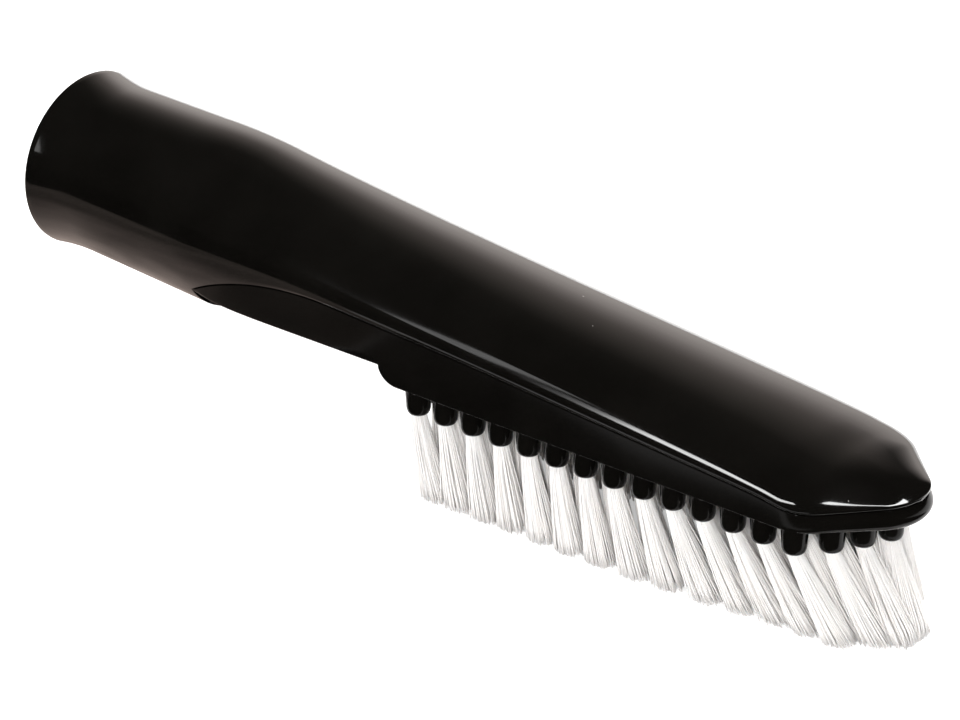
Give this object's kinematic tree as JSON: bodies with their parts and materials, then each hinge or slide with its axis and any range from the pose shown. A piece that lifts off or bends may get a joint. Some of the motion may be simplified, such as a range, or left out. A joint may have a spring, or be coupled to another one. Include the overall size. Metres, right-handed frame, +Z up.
{
  "type": "vacuum brush attachment",
  "caption": "Long, low vacuum cleaner brush: a round socket tube runs into a tapered glossy hood over a suction mouth ringed by leaning bristle tufts.",
  "frame": {"origin": "centre of the bounding box's underside, on the plane of the bristle tips", "axes": "+X from the socket's mouth to the nose, +Y to the left of that, +Z up, away from the bristle tips"},
  "size_m": [0.236, 0.0418, 0.0634],
  "materials": {
    "shell_plastic": "high gloss moulded black",
    "base_plastic": "high gloss moulded black",
    "bristle_nylon": "off-white nylon filament, satin"
  },
  "bodies": {
    "root": {"upper_shell": "shell_plastic", "lower_base": "base_plastic", "tuft_right_01": "bristle_nylon", "tuft_right_02": "bristle_nylon", "tuft_right_03": "bristle_nylon", "tuft_right_04": "bristle_nylon", "tuft_right_05": "bristle_nylon", "tuft_right_06": "bristle_nylon", "tuft_right_07": "bristle_nylon", "tuft_right_08": "bristle_nylon", "tuft_right_09": "bristle_nylon", "tuft_right_10": "bristle_nylon", "tuft_right_11": "bristle_nylon", "tuft_right_12": "bristle_nylon", "tuft_right_13": "bristle_nylon", "tuft_right_14": "bristle_nylon", "tuft_left_01": "bristle_nylon", "tuft_left_02": "bristle_nylon", "tuft_left_03": "bristle_nylon", "tuft_left_04": "bristle_nylon", "tuft_left_05": "bristle_nylon", "tuft_left_06": "bristle_nylon", "tuft_left_07": "bristle_nylon", "tuft_left_08": "bristle_nylon", "tuft_left_09": "bristle_nylon", "tuft_left_10": "bristle_nylon", "tuft_left_11": "bristle_nylon", "tuft_left_12": "bristle_nylon", "tuft_left_13": "bristle_nylon", "tuft_left_14": "bristle_nylon", "tuft_nose_right_1": "bristle_nylon", "tuft_nose_right_2": "bristle_nylon", "tuft_nose_left_1": "bristle_nylon", "tuft_nose_left_2": "bristle_nylon", "tuft_nose_tip": "bristle_nylon", "tuft_rear_1": "bristle_nylon", "tuft_rear_2": "bristle_nylon", "tuft_rear_3": "bristle_nylon", "tuft_rear_4": "bristle_nylon"}
  },
  "joints": []
}
